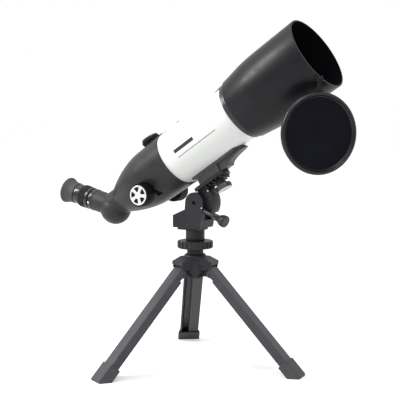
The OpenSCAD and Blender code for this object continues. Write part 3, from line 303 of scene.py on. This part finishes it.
def make(name, verts, faces, look, body, stands_for=(), slot=None, crease=35):
    """A mesh object in the row's frame that rides on a body."""
    mesh = bpy.data.meshes.new(name)
    mesh.from_pydata([tuple(v) for v in verts], [], faces)
    mesh.validate()
    bm = bmesh.new()
    bm.from_mesh(mesh)
    bmesh.ops.recalc_face_normals(bm, faces=bm.faces)
    bm.to_mesh(mesh)
    bm.free()
    mesh.materials.append(look)
    for face in mesh.polygons:
        face.use_smooth = True
    mesh.set_sharp_from_angle(angle=math.radians(crease))
    obj = bpy.data.objects.new(name, mesh)
    bpy.context.scene.collection.objects.link(obj)
    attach(obj, body)
    if stands_for:
        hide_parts(*stands_for)
    return obj


def turned(name, outline, place, look, body, steps=120, **more):
    """Turns a closed outline of (radius, height) about Z of the frame given by place.

    A third number in a point says how far every second step stands out as a rib there.
    """
    verts, rings = [], []
    for radius, height, *rib in outline:
        if radius < 0.001:
            rings.append([len(verts)] * steps)
            verts.append(place @ Vector((0, 0, height)))
            continue
        ring = []
        for k in range(steps):
            turn = 2 * math.pi * k / steps
            out = radius + (rib[0] if rib and k % 2 else 0)
            ring.append(len(verts))
            verts.append(place @ Vector((out * math.cos(turn), out * math.sin(turn), height)))
        rings.append(ring)
    faces = []
    for i, ring in enumerate(rings):
        after = rings[(i + 1) % len(rings)]
        if ring[0] == ring[1] and after[0] == after[1]:
            continue
        for k in range(steps):
            n = (k + 1) % steps
            corners = [ring[k], ring[n], after[n], after[k]]
            face = [c for j, c in enumerate(corners) if c not in corners[:j]]
            faces.append(face)
    return make(name, verts, faces, look, body, **more)


def loft(name, sections, place, look, body, **more):
    """Skins a row of closed outlines with as many points each, and closes both ends."""
    count = len(sections[0])
    verts = [place @ Vector(p) for section in sections for p in section]
    faces = [tuple(range(count)), tuple(reversed(range(len(verts) - count, len(verts))))]
    for a in range(0, len(verts) - count, count):
        for k in range(count):
            n = (k + 1) % count
            faces.append((a + k, a + n, a + count + n, a + count + k))
    return make(name, verts, faces, look, body, **more)


def curve(points, per=8):
    """A smooth line of points through the given ones (Catmull-Rom)."""
    ends = [points[0]] + list(points) + [points[-1]]
    line = []
    for a, b, c, d in zip(ends, ends[1:], ends[2:], ends[3:]):
        for k in range(per):
            t = k / per
            line.append(tuple(
                0.5 * (2 * b[i] + (c[i] - a[i]) * t
                       + (2 * a[i] - 5 * b[i] + 4 * c[i] - d[i]) * t * t
                       + (3 * b[i] - a[i] - 3 * c[i] + d[i]) * t ** 3)
                for i in (0, 1)))
    line.append(tuple(points[-1]))
    return line


# ---------------------------------------------------------------- hood and cap


def hood():
    """The lens hood with a softened corner between cone and mouth, and the cap's two ears."""
    back, cone, mouth = (50.0, 105.8), (56.5, 150.0), (57.6, 246.2)
    start = Vector(cone).lerp(Vector(back), 0.42)
    end = Vector(cone).lerp(Vector(mouth), 0.2)
    rounded = []
    for k in range(9):
        t = k / 8
        first = start.lerp(Vector(cone), t)
        second = Vector(cone).lerp(end, t)
        rounded.append(tuple(first.lerp(second, t)))
    outline = [(46.13, 105.0), (49.4, 105.0), (49.85, 105.3), back] + rounded + [
        mouth, (57.4, HOOD_MOUTH - 0.2), (56.9, HOOD_MOUTH), (55.4, HOOD_MOUTH),
        (54.95, HOOD_MOUTH - 0.3), (HOOD_BORE_R, 150.0), (LENS_RING_R, 109.0), (46.13, 109.0)]
    obj = turned("lens_hood_moulded", outline, TUBE_AXIS, HOOD, "scope",
                 stands_for=("lens_hood",), slot="hood_plastic", steps=192)
    paint(obj, HOOD_IN, TUBE_AXIS,
          lambda p, n: n.x * p.x + n.y * p.y < -1
          or (math.hypot(p.x, p.y) < LENS_RING_R + 0.1 and p.z > 108.9))
    arm = math.radians(140)
    ear_r = 2.4
    arm_l = 4.9
    ear_gap = 4.3
    for side in (-1, 1):
        outline = []
        for k in range(10):
            turn = arm + math.radians(90 + 20 * k)
            outline.append((ear_r * math.cos(turn), ear_r * math.sin(turn)))
        for across in (-ear_r, ear_r):
            outline.append((arm_l * math.cos(arm) - across * math.sin(arm),
                            arm_l * math.sin(arm) + across * math.cos(arm)))
        loft("cap_ear_%s" % ("left" if side > 0 else "right"),
             [[(x, side * ear_gap + thick, z) for x, z in outline] for thick in (-1, 1)],
             LUG, HOOD, "scope", slot="hood_plastic")


def cap():
    """The lens cap: a dull face inside a rounded glossy rim, and a skirt behind it."""
    face_r = 51.0
    skirt_r = 54.5
    skirt_in = 52.7
    depth = 9.0
    rim = curve([(46, 0.6), (49.2, 0.7), (51.2, 1.4), (52.4, 2.8), (53.3, 4.2), (54.5, 4.9),
                 (56.0, 4.5), (57.3, 3.2), (57.9, 1.7), (57.6, 0.5), (57.0, 0)], 6)
    outline = [(0, 0.6)] + rim + [
        (skirt_r, 0), (skirt_r, 0.4 - depth), (skirt_r - 0.4, -depth), (skirt_in + 0.4, -depth),
        (skirt_in, 0.4 - depth), (skirt_in, -0.6), (0, -0.6)]
    obj = turned("lens_cap_moulded", outline, CAP_PLACE, CAP, "cap",
                 stands_for=("lens_cap",), slot="hood_plastic", steps=160)
    paint(obj, CAP_FACE, CAP_PLACE, lambda p, n: math.hypot(p.x, p.y) < face_r and p.z > 0.5)


def stud(name, place, radius, body):
    """The domed steel head of a small screw; Z of its place points out of the surface."""
    dome = curve([(radius, 0), (radius, 0.4 * radius), (0.75 * radius, 0.65 * radius),
                  (0.45 * radius, 0.72 * radius)], 3)
    turned(name, [(0, 0)] + dome + [(0.4 * radius, 0.5 * radius), (0, 0.5 * radius)],
           place, STEEL, body, steps=32, slot="pin_steel")


# ---------------------------------------------------------------- eyepiece


def eyepiece():
    """The eyepiece's outer pieces along the bent axis, and the sleeve of its holder."""
    bore = EYEPIECE_BORE_R
    outer = curve([(15.8, 76.5), (17.2, 77.1), (17.6, 79), (17.4, 82), (17.8, 86.5), (18.9, 91),
                   (20.6, 95), (21.5, 97.2), (21.5, 98.8), (20.7, 99.4), (19.5, 99.3),
                   (18.6, 98.4), (17.4, 96), (16, 94.6)], 5)
    turned("eyecup_folded", [(14.53, 76.5)] + outer + [(14.53, 94.5)], BEND, CUP, "eyepiece",
           stands_for=("eyecup",), slot="foot_rubber")
    collar = curve([(17.2, 45.4), (18.0, 45.9), (18.4, 46.8), (18.4, 50.4), (18.1, 51.2)], 4)
    turned("eyepiece_collar",
           [(16.7, 45.4)] + collar + [(17.2, 51.6), (17.2, 52.2), (bore, 52.2), (bore, 48.2),
                                      (16.7, 48.2)],
           BEND, GLOSS, "eyepiece", stands_for=("grip_ring",), slot="knob_plastic")
    grip = [(bore, 52.2), (17.9, 52.2, 0.15), (18.0, 52.9, 0.7), (18.0, 63.6, 0.7),
            (17.9, 64.4, 0.15), (bore, 64.4)]
    turned("eyepiece_grip", grip, BEND, RUBBER, "eyepiece", slot="foot_rubber", crease=25)
    band = curve([(15.2, 64.4), (16.5, 64.9), (17.0, 66), (17.0, 74), (16.6, 75.6),
                  (15.8, 76.5)], 4)
    turned("eyepiece_band", [(bore, 64.4)] + band + [(bore, 76.5)], BEND, GLOSS, "eyepiece",
           slot="knob_plastic")
    sleeve = curve([(17.7, 36.4), (18.1, 36.7), (18.2, 37.4), (18.2, 42.4), (17.9, 42.9)], 4)
    turned("holder_sleeve", [(17.3, 36.4)] + sleeve + [(17.3, 42.9)], BEND, GLOSS, "focus",
           slot="knob_plastic")
    side = Matrix.Rotation(math.radians(-102), 4, "Z") @ Matrix.Translation((17.6, 0, 40.4))
    stud("holder_stud", BEND @ side @ Matrix.Rotation(math.radians(90), 4, "Y"), 2.0, "focus")


# ---------------------------------------------------------------- head


def head_studs():
    """Small bright screw heads on the right side of the tilting lobe and the block."""
    towards_right = Matrix.Rotation(math.radians(90), 4, "X")
    sunk = 0.1
    lobe_side = -11.0
    block_side = -20.0
    place = SCOPE @ Matrix.Translation((-13.0, lobe_side + sunk, -74.0)) @ towards_right
    stud("lobe_stud", place, 1.5, "scope")
    place = HEAD_MM @ Matrix.Translation((24.0, block_side + sunk, 252.0)) @ towards_right
    stud("block_stud", place, 1.3, "head")


def clamp_grip():
    """The clamp handle's flared grip with deep flutes, along the handle's own Z."""
    place = (HEAD_MM @ Matrix.Translation((26, -16.3, 247))
             @ Matrix.Rotation(math.radians(-4), 4, "Z")
             @ Matrix.Rotation(math.radians(90 + 18.6), 4, "Y"))
    long = 25
    wide = 9.4
    stem_end = 36
    past_stem = 8
    foot = stem_end - long + past_stem
    outline = [(3.65, foot), (4.4, foot), (4.6, foot + 0.8, 0.1), (4.5, foot + 1.6, 0.8),
               (4.5, foot + 0.42 * long, 0.8), (wide - 2.2, foot + 0.58 * long, 0.7),
               (wide - 0.9, foot + 0.68 * long, 0.3), (wide - 0.2, foot + 0.74 * long),
               (wide - 0.1, foot + 0.76 * long), (wide - 0.1, foot + long - 1.2),
               (wide - 0.4, foot + long - 0.5), (wide - 1.1, foot + long - 0.1),
               (0, foot + long - 0.1), (0, stem_end + 0.1), (3.65, stem_end + 0.1)]
    turned("clamp_grip_fluted", outline, place, GRIP, "handle", steps=36,
           stands_for=("clamp_grip",), slot="tripod_plastic", crease=28)


# ---------------------------------------------------------------- on the tube


def mark(name, start, end, middle, height):
    """A thin printed patch on the tube's side; middle is its angle from the top."""
    half = math.degrees(height / 2 / TUBE_R)
    under = TUBE_R + 0.02
    over = TUBE_R + 0.10
    corners = [(start, under), (end, under), (end, over), (start, over)]
    sections = []
    for k in range(7):
        turn = math.radians(middle - half + half * k / 3)
        sections.append([(x, -r * math.sin(turn), r * math.cos(turn)) for x, r in corners])
    loft(name, sections, SCOPE, INK, "scope", slot="knob_plastic")


def shoe():
    """The finder's shoe: a wedge with a dovetail groove, thin at the back."""
    back = 78
    length = 14
    thin = 0.35
    rise = 2.3
    seat_r = TUBE_R + 0.03
    sections = []
    for k in range(6):
        x = back + length * k / 5
        top = TUBE_R + thin + rise * (k / 5) ** 1.3
        floor = min(top - 0.03, TUBE_R + 1.0)
        under = [(y, math.sqrt(seat_r ** 2 - y * y)) for y in (9, 6, 3, 0, -3, -6, -9)]
        outline = [(-9, top - 0.2), (-8.8, top), (-3.3, top), (-4, floor), (4, floor),
                   (3.3, top), (8.8, top), (9, top - 0.2)] + under
        sections.append([(x, y, z) for y, z in outline])
    loft("finder_shoe_wedge", sections, SCOPE, FOOT_BLACK, "scope",
         stands_for=("finder_shoe",), slot="knob_plastic")


hood()
cap()
eyepiece()
head_studs()
clamp_grip()
shoe()
mark("tube_bar", -13, 27, 93, 5.4)
mark("tube_line", -12, 66, 106.4, 0.9)

# ---------------------------------------------------------------- rounded edges


def soften(node, width, angle=32, segments=2):
    """Rounds the sharp edges of a CAD node a little, as moulded and cast pieces are."""
    obj = NODES[node]
    weld = obj.modifiers.new("weld", "WELD")
    weld.merge_threshold = 0.00001
    flat = obj.modifiers.new("flat", "DECIMATE")
    flat.decimate_type = "DISSOLVE"
    flat.angle_limit = math.radians(1)
    edge = obj.modifiers.new("edge", "BEVEL")
    edge.limit_method = "ANGLE"
    edge.angle_limit = math.radians(angle)
    edge.width = width * MM
    edge.segments = segments
    edge.harden_normals = True


EDGES = {
    "hub": 0.9, "leg_a": 0.7, "leg_b": 0.7, "leg_c": 0.7, "foot_a": 1.2, "foot_b": 1.2,
    "foot_c": 1.2, "lock_ring": 0.6, "column": 0.5, "head_block": 1.0, "tilt_platform": 0.6,
    "tube_foot": 0.7, "clamp_stem": 0.3, "platform_pad": 0.3,
    "screw_wheel": 0.3, "cap_strap": 0.3,
    "lock_knob": 0.3, "lock_disc": 0.3, "knob_right": 0.3, "knob_left": 0.3,
    "disc_right": 0.25, "disc_left": 0.25,
}
for name, width in EDGES.items():
    soften(name, width)

# ---------------------------------------------------------------- stage


def seen(tree):
    """1 for rays from the camera, and for what gloss and glass show of the background."""
    path = tree.nodes.new("ShaderNodeLightPath")
    either = tree.nodes.new("ShaderNodeMath")
    either.operation = "MAXIMUM"
    both = tree.nodes.new("ShaderNodeMath")
    both.operation = "MAXIMUM"
    tree.links.new(path.outputs["Is Camera Ray"], either.inputs[0])
    tree.links.new(path.outputs["Is Glossy Ray"], either.inputs[1])
    tree.links.new(either.outputs[0], both.inputs[0])
    tree.links.new(path.outputs["Is Transmission Ray"], both.inputs[1])
    return both.outputs[0]


def stage():
    """A pale floor that looks white to the camera and still takes the shadow."""
    shown = 0.38
    bpy.ops.mesh.primitive_plane_add(size=14, location=(0, 0, 0))
    floor = bpy.context.object
    floor.name = "floor"
    mat, tree, bsdf = principled("floor_white", (0.80, 0.80, 0.80), 0.8, specular=0.1)
    shade = remap(tree, noise(tree, coordinates(tree), 6, 3), 0.0, 1.0)
    pale = tint(tree, shade, (0.79, 0.79, 0.79), (0.81, 0.81, 0.81))
    tree.links.new(pale, bsdf.inputs["Base Color"])
    bsdf.inputs["Emission Color"].default_value = (1, 1, 1, 1)
    lift = tree.nodes.new("ShaderNodeMath")
    lift.operation = "MULTIPLY"
    lift.inputs[1].default_value = shown
    tree.links.new(seen(tree), lift.inputs[0])
    tree.links.new(lift.outputs[0], bsdf.inputs["Emission Strength"])
    floor.data.materials.append(mat)


def sky():
    """A soft grey room for the light, and white where the camera or gloss sees it."""
    world = bpy.data.worlds.new("studio")
    bpy.context.scene.world = world
    world.use_nodes = True
    tree = world.node_tree
    nodes, links = tree.nodes, tree.links
    nodes.clear()
    out = nodes.new("ShaderNodeOutputWorld")
    white = nodes.new("ShaderNodeBackground")
    white.inputs["Color"].default_value = (1, 1, 1, 1)
    white.inputs["Strength"].default_value = 1.0
    room = nodes.new("ShaderNodeBackground")
    room.inputs["Color"].default_value = (0.97, 0.98, 1.0, 1)
    room.inputs["Strength"].default_value = 0.5
    mix = nodes.new("ShaderNodeMixShader")
    links.new(seen(tree), mix.inputs[0])
    links.new(room.outputs[0], mix.inputs[1])
    links.new(white.outputs[0], mix.inputs[2])
    links.new(mix.outputs[0], out.inputs["Surface"])


def softbox(name, place, target, size, power):
    """A rectangular lamp at a place, facing a target."""
    light = bpy.data.lights.new(name, "AREA")
    light.shape = "RECTANGLE"
    light.size, light.size_y = size
    light.energy = power
    obj = bpy.data.objects.new(name, light)
    bpy.context.scene.collection.objects.link(obj)
    obj.location = place
    obj.rotation_euler = (Vector(target) - Vector(place)).to_track_quat("-Z", "Y").to_euler()


def overhead(name, towards, strength, spread):
    """A wide soft light from far off, so that the whole floor stays pale."""
    light = bpy.data.lights.new(name, "SUN")
    light.energy = strength
    light.angle = math.radians(spread)
    obj = bpy.data.objects.new(name, light)
    bpy.context.scene.collection.objects.link(obj)
    obj.rotation_euler = Vector(towards).to_track_quat("Z", "Y").to_euler()


def camera():
    """A long lens from the front right, a little above the tripod's head."""
    looking = Vector((-0.42975, 0.89753, -0.09884))
    data = bpy.data.cameras.new("camera")
    data.lens = 86.8
    data.sensor_width = 36.0
    obj = bpy.data.objects.new("camera", data)
    bpy.context.scene.collection.objects.link(obj)
    obj.location = (0.65455, -1.34964, 0.41069)
    obj.rotation_euler = looking.to_track_quat("-Z", "Y").to_euler()
    bpy.context.scene.camera = obj


stage()
sky()
overhead("overhead", (-0.35, -0.3, 1.0), 1.35, 80)
softbox("key", (-1.25, -0.75, 1.25), (0, 0, 0.33), (0.42, 0.8), 21)
softbox("top", (0.72, -0.85, 1.6), (0.25, -0.05, 0.4), (0.45, 0.45), 7)
camera()

scene = bpy.context.scene
scene.render.resolution_x = 400
scene.render.resolution_y = 400
scene.view_settings.view_transform = "Standard"
